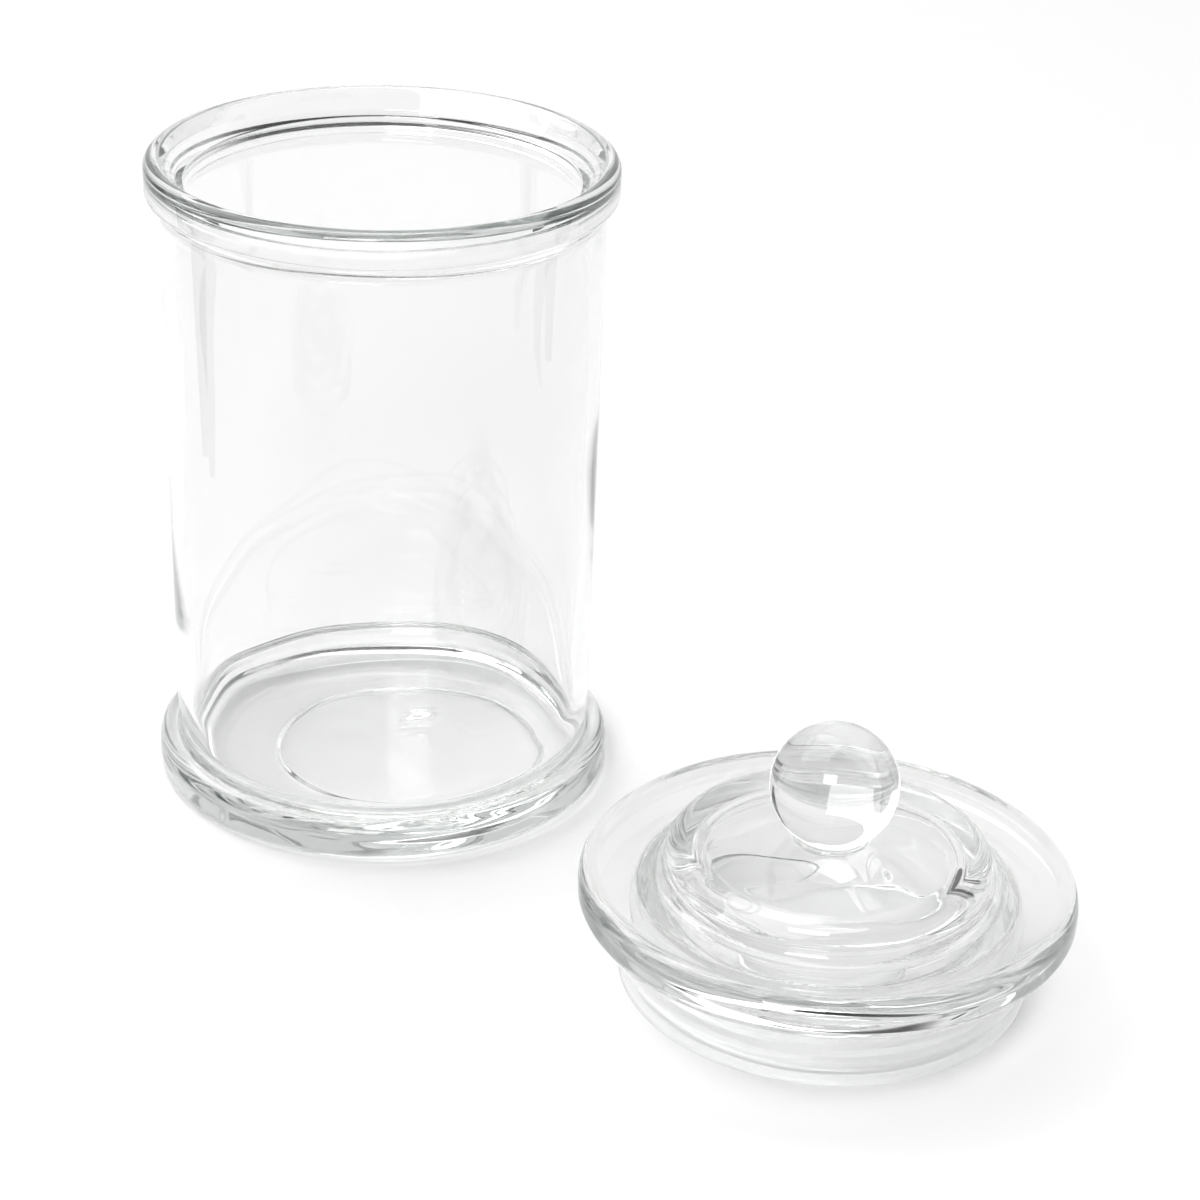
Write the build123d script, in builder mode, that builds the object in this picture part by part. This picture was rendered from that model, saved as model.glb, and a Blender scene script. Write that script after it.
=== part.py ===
"""Specimen jar: a straight-sided display jar of clear pressed glass with a loose, knobbed glass lid.

The lid stands beside the open jar. It is a round plug under a wide flange, with a raised hollow
centre that carries a ball knob, and a soft ribbed seal stretched round the plug.

Frame: +Z up, origin on the jar's axis at the level of the table, the lid's axis on +X.
All sizes are in millimetres.
"""
import os

from build123d import *

# Driving dimensions of the jar
jar_height = 142.3
rim_radius = 50.0             # the thick collar round the mouth
rim_height = 8.0
crest_radius = 46.9           # where the collar's narrow top turns into the bevel down to the mouth
mouth_radius = 41.8           # the narrowest ring, where the lid's seal sits
mouth_drop = 5.4              # from the crest down to the mouth ring
mouth_length = 3.4
body_radius_top = 47.3
body_radius_foot = 46.3       # the body narrows a little towards the foot
wall = 3.3
floor_height = 6.0            # inside floor above the table
foot_radius = 50.7
foot_height = 8.3
punt_radius = 29.0            # shallow recess under the foot
punt_depth = 1.6

# Driving dimensions of the lid
lid_distance = 128.5          # from the jar's axis to the lid's axis
flange_radius = 50.4
flange_underside = 15.8       # above the table, on which the seal stands
flange_thickness = 9.0
flange_dish = 2.4             # how far the flange's top sinks towards the dome
plug_radius = 38.4
plug_lift = 0.8               # the glass plug ends this far above the table
plug_wall = 5.0
dome_radius = 32.8
dome_top = 30.2
dome_crown = 1.0              # rise of the dome's top towards the knob
hollow_radius = 27.5
hollow_top = 24.4
knob_radius = 13.0
knob_centre = 43.0
neck_radius = 7.4

# Driving dimensions of the seal
sleeve_height = 12.0
sleeve_wall = 1.3
seal_lip = 2.4                # how far the seal's foot turns in under the plug
fin_radius = 41.6             # the fins fill the mouth ring
fin_thickness = 1.2
fin_pitch = 4.2
fin_count = 3

os.makedirs("parts", exist_ok=True)


# Jar: one revolved wall from the recess under the foot, up the outside, over the collar and
# down the bore to the floor. Each entry is (radius, height, radius of the rounded corner).
mouth_top = jar_height - mouth_drop
mouth_bottom = mouth_top - mouth_length
rim_bottom = jar_height - rim_height

jar_outline = [
    (punt_radius, punt_depth, 1.0),
    (punt_radius + 3, 0, 1.5),
    (foot_radius, 0, 2.4),
    (foot_radius, foot_height, 3.6),
    (body_radius_foot, foot_height + 0.6, 1.0),
    (body_radius_top, rim_bottom - 0.6, 0.8),
    (rim_radius, rim_bottom, 2.0),
    (rim_radius, jar_height, 2.2),
    (crest_radius, jar_height, 1.2),
    (mouth_radius, mouth_top, 0.8),
    (mouth_radius, mouth_bottom, 0.8),
    (body_radius_top - wall, mouth_bottom - 3.2, 2.5),
    (body_radius_foot - wall, floor_height + 0.4, 5.0),
]

with BuildPart() as jar:
    with BuildSketch(Plane.XZ):
        with BuildLine():
            FilletPolyline(
                (0, punt_depth),
                *[(radius, height) for radius, height, corner in jar_outline],
                (0, floor_height),
                radius=[corner for radius, height, corner in jar_outline],
            )
            Line((0, floor_height), (0, punt_depth))
        make_face()
    revolve(axis=Axis.Z)
jar.part.label = "jar"
export_step(jar.part, "parts/jar.step")


# Lid: one revolved piece from the hollow underneath, down the inside of the plug, up its
# outside, round the flange and over the dome to the knob.
lid_plane = Plane.XZ.move(Location((lid_distance, 0, 0)))
lid_axis = Axis((lid_distance, 0, 0), (0, 0, 1))
flange_top = flange_underside + flange_thickness
plug_bore = plug_radius - plug_wall
neck_foot = (neck_radius, dome_top + dome_crown)
neck_top = (neck_radius, knob_centre - (knob_radius**2 - neck_radius**2) ** 0.5)
knob_top = (0, knob_centre + knob_radius)

lid_outline = [
    (hollow_radius, hollow_top, 3.6),
    (hollow_radius + 0.6, flange_underside, 6.0),
    (plug_bore, plug_lift + 5, 4.0),
    (plug_bore, plug_lift, 1.5),
    (plug_radius, plug_lift, 0.8),
    (plug_radius, flange_underside, 1.2),
    (flange_radius, flange_underside, 2.6),
    (flange_radius, flange_top, 3.8),
    (dome_radius + 0.6, flange_top - flange_dish, 3.0),
    (dome_radius, dome_top, 4.4),
]

with BuildPart() as lid:
    with BuildSketch(lid_plane):
        with BuildLine():
            FilletPolyline(
                (0, hollow_top),
                *[(radius, height) for radius, height, corner in lid_outline],
                neck_foot,
                radius=[corner for radius, height, corner in lid_outline],
            )
            Line(neck_foot, neck_top)
            ThreePointArc(neck_top, (knob_radius, knob_centre), knob_top)
            Line(knob_top, (0, hollow_top))
        make_face()
    revolve(axis=lid_axis)
    # the neck flares into the dome
    fillet(lid.edges().sort_by_distance((lid_distance + neck_radius, 0, neck_foot[1]))[0], 0.9)
lid.part.label = "lid"
export_step(lid.part, "parts/lid.step")


# Seal: a sleeve that grips the plug, a foot turned in under it, and fins that fill the mouth
fin_length = fin_radius - plug_radius - 0.3
fin_middle = fin_radius - fin_length / 2

with BuildPart() as lid_seal:
    with BuildSketch(lid_plane):
        with Locations((plug_radius, 0)):
            Rectangle(sleeve_wall, sleeve_height, align=(Align.MIN, Align.MIN))
        with Locations((plug_radius - seal_lip, 0)):
            Rectangle(seal_lip + sleeve_wall, plug_lift, align=(Align.MIN, Align.MIN))
        with Locations([(fin_middle, fin_thickness / 2 + fin_pitch * fin) for fin in range(fin_count)]):
            RectangleRounded(fin_length, fin_thickness, fin_thickness / 4)
    revolve(axis=lid_axis)
lid_seal.part.label = "lid_seal"
export_step(lid_seal.part, "parts/lid_seal.step")
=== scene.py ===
"""Specimen jar: the looks of a clear pressed-glass display jar and its loose lid, on the CAD frame."""
import math

import bpy
import numpy as np
from mathutils import Matrix, Vector


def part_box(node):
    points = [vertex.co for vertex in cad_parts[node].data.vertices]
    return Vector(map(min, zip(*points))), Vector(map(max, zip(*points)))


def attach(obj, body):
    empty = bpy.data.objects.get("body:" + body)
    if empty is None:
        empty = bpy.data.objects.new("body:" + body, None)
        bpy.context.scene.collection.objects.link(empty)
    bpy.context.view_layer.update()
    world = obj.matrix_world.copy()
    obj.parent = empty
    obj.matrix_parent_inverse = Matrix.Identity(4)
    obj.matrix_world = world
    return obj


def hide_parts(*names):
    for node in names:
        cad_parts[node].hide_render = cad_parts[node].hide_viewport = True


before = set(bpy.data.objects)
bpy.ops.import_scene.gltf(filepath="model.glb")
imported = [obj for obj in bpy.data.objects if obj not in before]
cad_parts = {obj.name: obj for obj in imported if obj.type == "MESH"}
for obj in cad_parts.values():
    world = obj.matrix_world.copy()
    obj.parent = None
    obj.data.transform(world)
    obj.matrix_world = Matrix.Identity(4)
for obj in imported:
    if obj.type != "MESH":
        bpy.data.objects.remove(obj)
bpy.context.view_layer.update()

MM = 0.001

# ---------------------------------------------------------------- camera
CAMERA_AZIMUTH = 41.41        # degrees, 0 looks along +Y
CAMERA_ELEVATION = 26.54
CAMERA_ROLL = 1.98
CAMERA_DISTANCE = 0.70
CAMERA_TARGET = (0.0270, 0.0427, 0.0327)
CAMERA_LENS = 91.6            # on a 36 mm sensor

# ---------------------------------------------------------------- studio, in metres, degrees and watts
CENTRE = (0.05, 0, 0.05)      # what the lights aim at and the flags stand round
STUDIO_PALE = 0.98
STUDIO_DARK = 0.06
FLOOR_RADIUS = 1.5            # small, so that its edge meets the pale surround while both are white
FLOOR_DROP = 0.0002           # a hair under the glass
FLAG_TURN = 100               # each side of the camera's azimuth
FLAG_DISTANCE = 0.26
FLAG_HEIGHT = 0.16
FLAG_TAPER = 0.2              # width of a flag's foot, as a share of its top
FLAG_WIDTH_LEFT = 0.09
FLAG_WIDTH_RIGHT = 0.12
KEY_TURN = -125
KEY_ELEVATION = 64
KEY_DISTANCE = 3.4
KEY_SIZE = (3.4, 3.4)
KEY_POWER = 100
FRONT_TURN = -13
FRONT_ELEVATION = 37
FRONT_DISTANCE = 1.6
FRONT_SIZE = (0.66, 0.50)
FRONT_POWER = 9

# ---------------------------------------------------------------- glass colour
JAR_TINT = 0.952              # white left after each surface
JAR_DENSITY = 7.5             # absorption in the thick parts
# the lid is the same glass as the jar: its own loss at each surface, plus painted shade that greys the
# flange as if the floor under it were in shadow
LID_TINT_WITH_PAINTED_SHADE = 0.928
LID_DENSITY = 5.8
BOUNCES = 128                 # light goes round many times inside the collar and the foot

# ---------------------------------------------------------------- glass sizes, in millimetres
JAR_LOW, JAR_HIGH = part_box("jar")
LID_LOW, LID_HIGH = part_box("lid")
SEAL_LOW, SEAL_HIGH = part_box("lid_seal")
LID_X = (LID_LOW[0] + LID_HIGH[0]) / 2 / MM

JAR_HEIGHT = (JAR_HIGH[2] - JAR_LOW[2]) / MM
FOOT_RADIUS = (JAR_HIGH[0] - JAR_LOW[0]) / 2 / MM
FOOT_HEIGHT = 8.3
RIM_RADIUS = 50.0
RIM_HEIGHT = 8.0
CREST_RADIUS = 46.9
MOUTH_RADIUS = 41.8
MOUTH_DROP = 5.4
MOUTH_LENGTH = 3.4
MOUTH_TOP = JAR_HEIGHT - MOUTH_DROP
MOUTH_BOTTOM = MOUTH_TOP - MOUTH_LENGTH
BODY_RADIUS_TOP = 47.3
BODY_RADIUS_FOOT = 46.3
WALL = 3.3
FLOOR_HEIGHT = 6.0
PUNT_RADIUS = 28.7
PUNT_DEPTH = 2.0
PUNT_SLOPE = 0.6
PUNT_CENTRE = (6.8, 0.9)      # the recess under the foot is off the axis
SHEAR_RADIUS = 10.5           # where the shear mark lies in the floor
SHEAR_TURN = math.radians(86)

FLANGE_RADIUS = (LID_HIGH[0] - LID_LOW[0]) / 2 / MM
FLANGE_UNDERSIDE = 15.8
FLANGE_THICKNESS = 9.0
FLANGE_DISH = 2.4
PLUG_RADIUS = 38.4
PLUG_LIFT = LID_LOW[2] / MM
PLUG_WALL = 5.0
DOME_RADIUS = 32.8
DOME_TOP = 30.2
DOME_CROWN = 1.0
HOLLOW_RADIUS = 27.5
HOLLOW_TOP = 24.4
KNOB_RADIUS = 13.0
KNOB_CENTRE = LID_HIGH[2] / MM - KNOB_RADIUS
NECK_RADIUS = 7.4
NECK_FLARE = 0.9

SEAL_HEIGHT = SEAL_HIGH[2] / MM
SLEEVE_WALL = 1.3
SEAL_LIP = 2.4
FIN_RADIUS = (SEAL_HIGH[0] - SEAL_LOW[0]) / 2 / MM
FIN_THICKNESS = 1.2
FIN_PITCH = 4.2
FIN_COUNT = 3

TURNS = 240                   # segments round each revolved piece
ARC_STEP = 0.25               # spacing of points along a rounded corner
RUN_STEP = 1.3                # spacing of points along a straight run


# ---------------------------------------------------------------- meshes
def run(start, end):
    """Points from start up to, not including, end."""
    count = max(1, round(math.dist(start, end) / RUN_STEP))
    return [tuple(np.add(start, np.subtract(end, start) * k / count)) for k in range(count)]


def rounded(points):
    """A fine outline from (radius, height, corner radius) points, with each corner a true arc."""
    fine = []
    here = np.array(points[0][:2], float)
    for before, corner, after in zip(points, points[1:], points[2:]):
        tip = np.array(corner[:2], float)
        back = np.array(before[:2]) - tip
        on = np.array(after[:2]) - tip
        back = back / np.linalg.norm(back)
        on = on / np.linalg.norm(on)
        half = math.acos(float(np.clip(back @ on, -1, 1))) / 2
        radius = corner[2]
        if radius == 0 or half > math.pi / 2 - 1e-4:
            fine += run(here, tip)
            here = tip
            continue
        reach = radius / math.tan(half)
        centre = tip + (back + on) / np.linalg.norm(back + on) * radius / math.sin(half)
        start, end = tip + back * reach, tip + on * reach
        first = math.atan2(*(start - centre)[::-1])
        swing = (math.atan2(*(end - centre)[::-1]) - first + math.pi) % (2 * math.pi) - math.pi
        count = max(3, round(abs(swing) * radius / ARC_STEP))
        fine += run(here, start)
        turns = [first + swing * k / count for k in range(count)]
        fine += [tuple(centre + radius * np.array([math.cos(t), math.sin(t)])) for t in turns]
        here = end
    return fine + run(here, points[-1][:2]) + [tuple(points[-1][:2])]


def arc(centre, radius, first, last):
    """Points of an arc, in degrees, for an outline that is already rounded."""
    count = round(abs(math.radians(last - first)) * radius / ARC_STEP)
    angles = np.radians(np.linspace(first, last, count + 1))
    return [(centre[0] + radius * math.cos(a), centre[1] + radius * math.sin(a)) for a in angles]


def spin(name, outline, axis_x, ripple=None, drift=None):
    """A mesh of revolution about the vertical axis at axis_x. The outline may start and end on the axis.

    ripple moves the skin in or out, and drift moves whole rings sideways.
    """
    radius, height = np.array(outline, float).T
    closed = radius[0] > 1e-6
    slope_r, slope_z = np.gradient(radius), np.gradient(height)
    length = np.hypot(slope_r, slope_z)
    normal_r, normal_z = slope_z / length, -slope_r / length
    angle = np.arange(TURNS) * 2 * math.pi / TURNS
    r, turn = np.meshgrid(radius, angle, indexing="ij")
    z = np.repeat(height[:, None], TURNS, 1)
    if ripple:
        push = ripple(r, z, turn)
        r = r + push * normal_r[:, None]
        z = z + push * normal_z[:, None]
    points = np.stack([axis_x + r * np.cos(turn), r * np.sin(turn), z], -1)
    if drift:
        points[..., :2] += drift(radius, height)[:, None]
    points *= MM
    rows = len(radius)
    faces = []
    if closed:
        verts = points.reshape(-1, 3).tolist()
        starts = [i * TURNS for i in range(rows)]
        bands = list(zip(starts, starts[1:] + starts[:1]))
    else:
        verts = [points[0].mean(0).tolist()]
        verts += points[1:-1].reshape(-1, 3).tolist()
        verts += [points[-1].mean(0).tolist()]
        starts = [1 + i * TURNS for i in range(rows - 2)]
        bands = list(zip(starts, starts[1:]))
        last = len(verts) - 1
        for k in range(TURNS):
            following = (k + 1) % TURNS
            faces.append((0, starts[0] + following, starts[0] + k))
            faces.append((last, starts[-1] + k, starts[-1] + following))
    for low, high in bands:
        for k in range(TURNS):
            following = (k + 1) % TURNS
            faces.append((low + k, low + following, high + following, high + k))
    mesh = bpy.data.meshes.new(name)
    mesh.from_pydata(verts, [], faces)
    mesh.update()
    mesh.shade_smooth()
    piece = bpy.data.objects.new(name, mesh)
    bpy.context.scene.collection.objects.link(piece)
    return piece


# ---------------------------------------------------------------- glass
def shear_mark(r, z, turn):
    """The small fold that the shears leave in the middle of the floor, where the gob of glass was cut."""
    along = r * np.cos(turn - SHEAR_TURN)
    across = r * np.sin(turn - SHEAR_TURN)
    near = np.exp(-((along - SHEAR_RADIUS) / 3.6) ** 2 - (across / 2.2) ** 2)
    fold = np.sin(1.7 * across + 0.8 * along) + 0.6 * np.sin(2.2 * along - 1.3 * across)
    return 0.6 * near * fold * (abs(z - FLOOR_HEIGHT) < 1)


def rise(value, start, length):
    """0 up to start, and 1 from start + length. A negative length falls from 1 to 0 instead."""
    return np.clip((value - start) / length, 0, 1)


def jar_ripple(r, z, turn):
    """The uneven thickness of pressed glass: wavy inside the bore, floor and heel, and true outside."""
    bore = rise(r, BODY_RADIUS_TOP - 1.5, -1) * rise(z, 7, 10) * rise(z, MOUTH_BOTTOM, -6)
    wave = (
        0.16 * np.sin(2 * turn + 0.045 * z + 0.6)
        + 0.10 * np.sin(3 * turn - 0.07 * z + 2.1)
        + 0.05 * np.sin(7 * turn + 0.11 * z)
        + 0.05 * np.sin(0.19 * z + 2 * turn)
    )
    floor = rise(r, 2, 8) * rise(r, 38, -8) * rise(z, 4, 1.5) * rise(z, 9, -2)
    swell = 0.10 * np.sin(3 * turn + 0.25 * r) + 0.07 * np.sin(5 * turn - 0.18 * r + 1.3)
    heel = rise(r, 33, 5) * rise(z, 18, -7) * rise(z, 5, 1) * (r < BODY_RADIUS_FOOT - 2)
    lean = 0.55 * np.cos(turn - math.radians(200)) + 0.16 * np.sin(5 * turn + 0.4)
    return bore * wave + floor * swell + heel * lean + shear_mark(r, z, turn)


def recess_drift(radius, height):
    """Rings under the foot slide off the axis: fully in the recess, and ever less on the flat round it."""
    share = rise(radius, 44, -12) * (height < PUNT_DEPTH + 0.1)
    return share[:, None] * np.array(PUNT_CENTRE)


def make_jar():
    rim_bottom = JAR_HEIGHT - RIM_HEIGHT
    outline = rounded([
        (0, PUNT_DEPTH, 0),
        (PUNT_RADIUS, PUNT_DEPTH, 0.7),
        (PUNT_RADIUS + PUNT_SLOPE, 0, 0.6),
        (FOOT_RADIUS, 0, 2.4),
        (FOOT_RADIUS, FOOT_HEIGHT, 3.6),
        (BODY_RADIUS_FOOT, FOOT_HEIGHT + 0.6, 1.0),
        (BODY_RADIUS_TOP, rim_bottom - 0.6, 0.8),
        (RIM_RADIUS, rim_bottom, 2.0),
        (RIM_RADIUS, JAR_HEIGHT, 2.2),
        (CREST_RADIUS, JAR_HEIGHT, 1.2),
        (MOUTH_RADIUS, MOUTH_TOP, 0.8),
        (MOUTH_RADIUS, MOUTH_BOTTOM, 0.8),
        (BODY_RADIUS_TOP - WALL, MOUTH_BOTTOM - 3.2, 2.5),
        (BODY_RADIUS_FOOT - WALL, FLOOR_HEIGHT + 0.4, 6.0),
        (0, FLOOR_HEIGHT, 0),
    ])
    piece = spin("jar_glass", outline, 0, jar_ripple, recess_drift)
    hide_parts("jar")
    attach(piece, "jar")
    return piece


def lid_ripple(r, z, turn):
    """The hollow under the lid is wavy, as pressed glass is where the plunger left it."""
    inside = rise(r, HOLLOW_RADIUS + 1, -2) * rise(z, HOLLOW_TOP + 1, -1) * rise(r, 6, 10)
    wave = 0.25 * np.sin(3 * turn + 0.5) + 0.15 * np.sin(5 * turn + 0.2 * r)
    return inside * wave


def make_lid():
    flange_top = FLANGE_UNDERSIDE + FLANGE_THICKNESS
    plug_bore = PLUG_RADIUS - PLUG_WALL
    neck_foot = DOME_TOP + DOME_CROWN
    neck_top = KNOB_CENTRE - math.sqrt(KNOB_RADIUS**2 - NECK_RADIUS**2)
    under_knob = math.degrees(math.atan2(neck_top - KNOB_CENTRE, NECK_RADIUS))
    outline = rounded([
        (0, HOLLOW_TOP, 0),
        (HOLLOW_RADIUS, HOLLOW_TOP, 3.6),
        (HOLLOW_RADIUS + 0.6, FLANGE_UNDERSIDE, 6.0),
        (plug_bore, PLUG_LIFT + 5, 4.0),
        (plug_bore, PLUG_LIFT, 1.5),
        (PLUG_RADIUS, PLUG_LIFT, 0.8),
        (PLUG_RADIUS, FLANGE_UNDERSIDE, 1.2),
        (FLANGE_RADIUS, FLANGE_UNDERSIDE, 2.6),
        (FLANGE_RADIUS, flange_top, 3.8),
        (DOME_RADIUS + 0.6, flange_top - FLANGE_DISH, 3.0),
        (DOME_RADIUS, DOME_TOP, 4.4),
        (NECK_RADIUS, neck_foot, NECK_FLARE),
        (NECK_RADIUS, neck_top, 0),
    ])
    outline = outline[:-1] + arc((0, KNOB_CENTRE), KNOB_RADIUS, under_knob, 90)
    piece = spin("lid_glass", outline, LID_X, lid_ripple)
    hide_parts("lid")
    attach(piece, "lid")
    return piece


def make_seal():
    gap = 0.04                # an air film between seal and plug
    inner = PLUG_RADIUS + gap
    outer = PLUG_RADIUS + SLEEVE_WALL
    lip_top = PLUG_LIFT - gap
    lip_edge = PLUG_RADIUS - SEAL_LIP
    outline = [(inner, SEAL_HEIGHT, 0.2), (inner, lip_top, 0), (lip_edge, lip_top, 0.2), (lip_edge, 0, 0.2)]
    for fin in range(FIN_COUNT):
        low = fin * FIN_PITCH
        if fin:
            outline.append((outer, low, 0.25))
        high = low + FIN_THICKNESS
        outline += [(FIN_RADIUS, low, 0.3), (FIN_RADIUS, high, 0.3), (outer, high, 0.25)]
    outline.append((outer, SEAL_HEIGHT, 0.4))
    start = (inner, SEAL_HEIGHT - 3, 0)
    fine = rounded([start] + outline[1:] + [outline[0], start])
    piece = spin("lid_seal_ring", fine[:-1], LID_X)
    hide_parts("lid_seal")
    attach(piece, "lid")
    return piece


# ---------------------------------------------------------------- materials
def new_material(name):
    material = bpy.data.materials.new(name)
    material.use_nodes = True
    nodes = material.node_tree.nodes
    return material, nodes, material.node_tree.links, nodes["Principled BSDF"]


def glass_material(name, tint, density):
    """Clear pressed glass: a faint green where it is thick, and a fire-polished skin with faint ripples."""
    material, nodes, links, shader = new_material(name)
    shader.inputs["Base Color"].default_value = (tint, tint, tint, 1)
    shader.inputs["Roughness"].default_value = 0.0
    shader.inputs["IOR"].default_value = 1.51
    shader.inputs["Transmission Weight"].default_value = 1.0
    noise = nodes.new("ShaderNodeTexNoise")
    noise.inputs["Scale"].default_value = 30
    noise.inputs["Detail"].default_value = 1.5
    where = nodes.new("ShaderNodeTexCoord")
    bump = nodes.new("ShaderNodeBump")
    bump.inputs["Strength"].default_value = 0.02
    bump.inputs["Distance"].default_value = 0.0006
    links.new(where.outputs["Object"], noise.inputs["Vector"])
    links.new(noise.outputs["Fac"], bump.inputs["Height"])
    links.new(bump.outputs["Normal"], shader.inputs["Normal"])
    absorb = nodes.new("ShaderNodeVolumeAbsorption")
    absorb.inputs["Color"].default_value = (0.41, 0.45, 0.43, 1)
    absorb.inputs["Density"].default_value = density
    links.new(absorb.outputs["Volume"], nodes["Material Output"].inputs["Volume"])
    return material


def silicone_material():
    """Soft translucent silicone: milky, satin, with a fine moulded grain."""
    material, nodes, links, shader = new_material("milky_silicone")
    shader.inputs["Base Color"].default_value = (1, 1, 1, 1)
    shader.inputs["IOR"].default_value = 1.38
    shader.inputs["Transmission Weight"].default_value = 1.0
    noise = nodes.new("ShaderNodeTexNoise")
    noise.inputs["Scale"].default_value = 400
    ramp = nodes.new("ShaderNodeMapRange")
    ramp.inputs["To Min"].default_value = 0.44
    ramp.inputs["To Max"].default_value = 0.52
    where = nodes.new("ShaderNodeTexCoord")
    links.new(where.outputs["Object"], noise.inputs["Vector"])
    links.new(noise.outputs["Fac"], ramp.inputs["Value"])
    links.new(ramp.outputs["Result"], shader.inputs["Roughness"])
    return material


# ---------------------------------------------------------------- studio
def make_floor():
    under = (0, 0, -FLOOR_DROP)
    bpy.ops.mesh.primitive_circle_add(vertices=128, radius=FLOOR_RADIUS, fill_type="NGON", location=under)
    floor = bpy.context.object
    floor.name = "floor"
    material, nodes, links, shader = new_material("white_paper")
    shader.inputs["Base Color"].default_value = (0.88, 0.88, 0.88, 1)
    shader.inputs["Roughness"].default_value = 0.9
    shader.inputs["Specular IOR Level"].default_value = 0.0
    floor.data.materials.append(material)


def make_flag(name, azimuth, distance, width, height):
    """A dark card beside the object, seen only in the glass, which gives clear glass its grey edges."""
    a = math.radians(azimuth)
    middle = Vector((CENTRE[0] + math.sin(a) * distance, -math.cos(a) * distance, 0))
    half = Vector((math.cos(a), math.sin(a), 0)) * width / 2
    lift = Vector((0, 0, height))
    mesh = bpy.data.meshes.new(name)
    foot = half * FLAG_TAPER
    corners = [middle - foot, middle + foot, middle + half + lift, middle - half + lift]
    mesh.from_pydata(corners, [], [(0, 1, 2, 3)])
    flag = bpy.data.objects.new(name, mesh)
    bpy.context.scene.collection.objects.link(flag)
    material, nodes, links, shader = new_material(name)
    shader.inputs["Base Color"].default_value = (0.06, 0.06, 0.06, 1)
    shader.inputs["Roughness"].default_value = 0.9
    mesh.materials.append(material)
    flag.visible_camera = False
    flag.visible_diffuse = False
    flag.visible_shadow = False


def area_light(name, azimuth, elevation, distance, size, power, aim):
    """A softbox round the object, by the same azimuth and elevation as the camera."""
    data = bpy.data.lights.new(name, "AREA")
    data.shape = "RECTANGLE"
    data.size, data.size_y = size
    data.energy = power
    light = bpy.data.objects.new(name, data)
    a, e = math.radians(azimuth), math.radians(elevation)
    out = Vector((math.sin(a) * math.cos(e), -math.cos(a) * math.cos(e), math.sin(e)))
    light.location = Vector(aim) + out * distance
    light.rotation_mode = "QUATERNION"
    light.rotation_quaternion = out.to_track_quat("Z", "Y")
    bpy.context.scene.collection.objects.link(light)
    return light


def make_world():
    """A white backdrop behind the object, pale all round and below the horizon, and dark elsewhere."""
    world = bpy.data.worlds.new("studio")
    bpy.context.scene.world = world
    world.use_nodes = True
    nodes, links = world.node_tree.nodes, world.node_tree.links
    where = nodes.new("ShaderNodeTexCoord")
    split = nodes.new("ShaderNodeSeparateXYZ")
    links.new(where.outputs["Generated"], split.inputs["Vector"])
    band = nodes.new("ShaderNodeMapRange")
    band.interpolation_type = "SMOOTHSTEP"
    band.inputs["From Min"].default_value = 0.16
    band.inputs["From Max"].default_value = 0.42
    band.inputs["To Min"].default_value = 1.0
    band.inputs["To Max"].default_value = 0.0
    links.new(split.outputs["Z"], band.inputs["Value"])
    facing = nodes.new("ShaderNodeVectorMath")
    facing.operation = "DOT_PRODUCT"
    away = math.radians(CAMERA_AZIMUTH)
    facing.inputs[1].default_value = (-math.sin(away), math.cos(away), 0.25)
    links.new(where.outputs["Generated"], facing.inputs[0])
    backdrop = nodes.new("ShaderNodeMapRange")
    backdrop.interpolation_type = "SMOOTHSTEP"
    backdrop.inputs["From Min"].default_value = 0.15
    backdrop.inputs["From Max"].default_value = 0.65
    links.new(facing.outputs["Value"], backdrop.inputs["Value"])
    both = nodes.new("ShaderNodeMath")
    both.operation = "MAXIMUM"
    links.new(band.outputs["Result"], both.inputs[0])
    links.new(backdrop.outputs["Result"], both.inputs[1])
    tone = nodes.new("ShaderNodeMapRange")
    tone.inputs["To Min"].default_value = STUDIO_DARK
    tone.inputs["To Max"].default_value = STUDIO_PALE
    links.new(both.outputs["Value"], tone.inputs["Value"])
    links.new(tone.outputs["Result"], nodes["Background"].inputs["Color"])
    nodes["Background"].inputs["Strength"].default_value = 1.0


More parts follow.
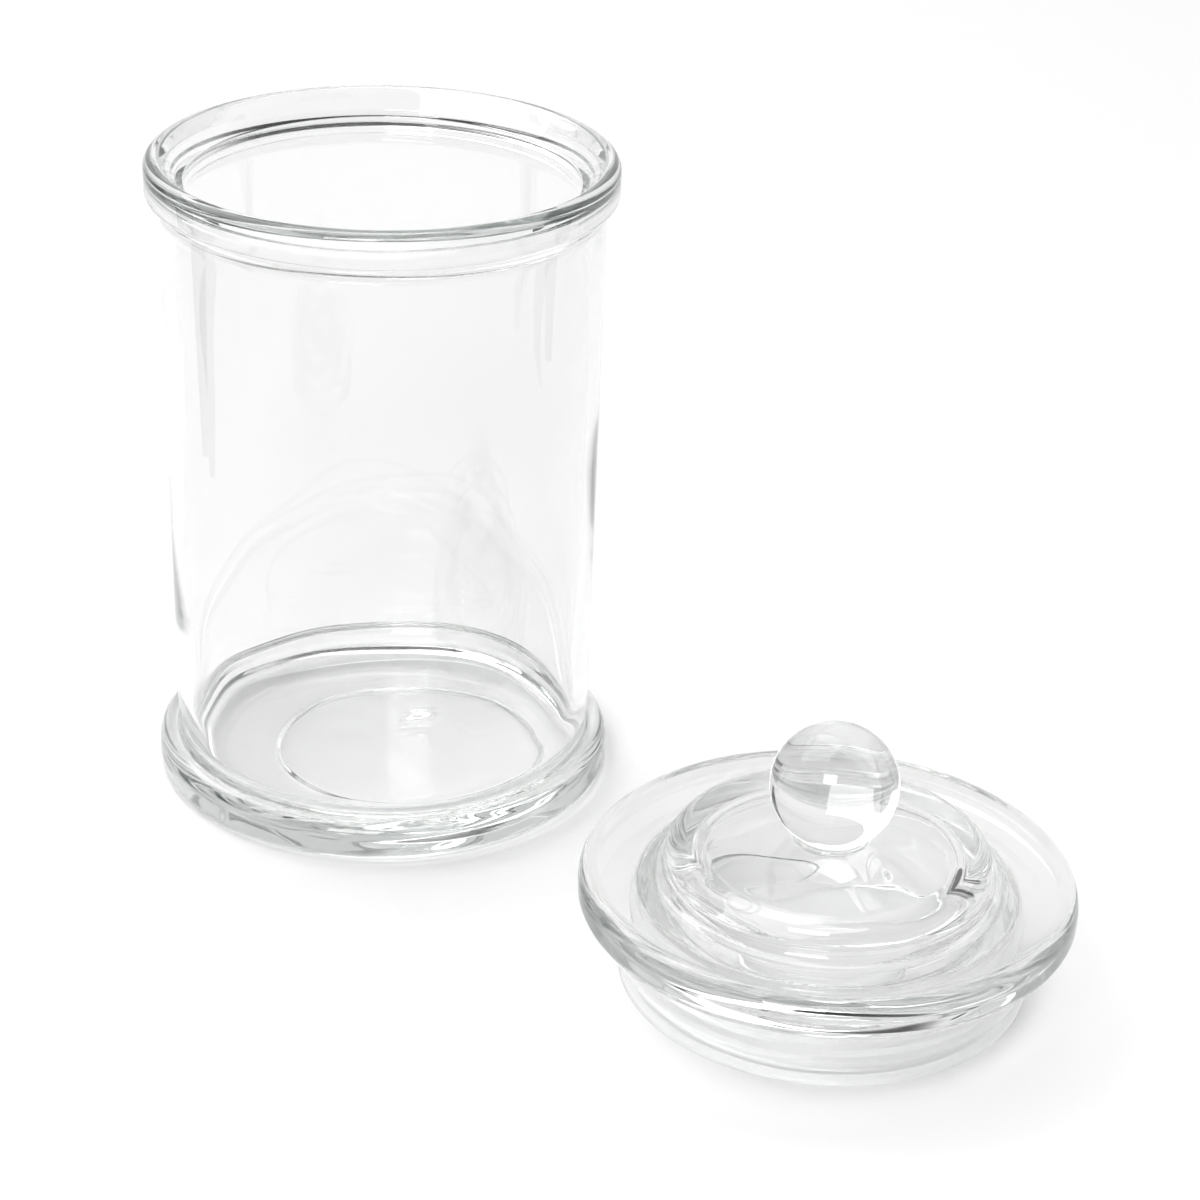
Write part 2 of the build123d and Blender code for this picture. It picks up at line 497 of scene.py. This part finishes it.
def make_camera():
    data = bpy.data.cameras.new("camera")
    data.lens = CAMERA_LENS
    data.sensor_width = 36
    data.clip_start, data.clip_end = 0.01, 50
    camera = bpy.data.objects.new("camera", data)
    a, e = math.radians(CAMERA_AZIMUTH), math.radians(CAMERA_ELEVATION)
    back = Vector((math.sin(a) * math.cos(e), -math.cos(a) * math.cos(e), math.sin(e)))
    camera.location = Vector(CAMERA_TARGET) + back * CAMERA_DISTANCE
    facing = back.to_track_quat("Z", "Y").to_matrix().to_4x4()
    camera.rotation_mode = "QUATERNION"
    roll = Matrix.Rotation(math.radians(CAMERA_ROLL), 4, "Z")
    camera.rotation_quaternion = (facing @ roll).to_quaternion()
    bpy.context.scene.collection.objects.link(camera)
    bpy.context.scene.camera = camera


def set_render_look():
    scene = bpy.context.scene
    scene.view_settings.view_transform = "Standard"
    scene.cycles.max_bounces = BOUNCES
    scene.cycles.transmission_bounces = BOUNCES
    scene.cycles.glossy_bounces = BOUNCES
    scene.cycles.diffuse_bounces = 4
    scene.cycles.volume_bounces = 0
    scene.cycles.use_denoising = True
    scene.cycles.blur_glossy = 0


make_camera()
jar = make_jar()
lid = make_lid()
seal = make_seal()
jar.data.materials.append(glass_material("jar_glass", JAR_TINT, JAR_DENSITY))
lid.data.materials.append(glass_material("lid_glass", LID_TINT_WITH_PAINTED_SHADE, LID_DENSITY))
seal.data.materials.append(silicone_material())
make_floor()
make_world()
make_flag("flag_left", CAMERA_AZIMUTH - FLAG_TURN, FLAG_DISTANCE, FLAG_WIDTH_LEFT, FLAG_HEIGHT)
make_flag("flag_right", CAMERA_AZIMUTH + FLAG_TURN, FLAG_DISTANCE, FLAG_WIDTH_RIGHT, FLAG_HEIGHT)
area_light("key", CAMERA_AZIMUTH + KEY_TURN, KEY_ELEVATION, KEY_DISTANCE, KEY_SIZE, KEY_POWER, CENTRE)
area_light(
    "front", CAMERA_AZIMUTH + FRONT_TURN, FRONT_ELEVATION, FRONT_DISTANCE, FRONT_SIZE, FRONT_POWER, CENTRE
)
set_render_look()
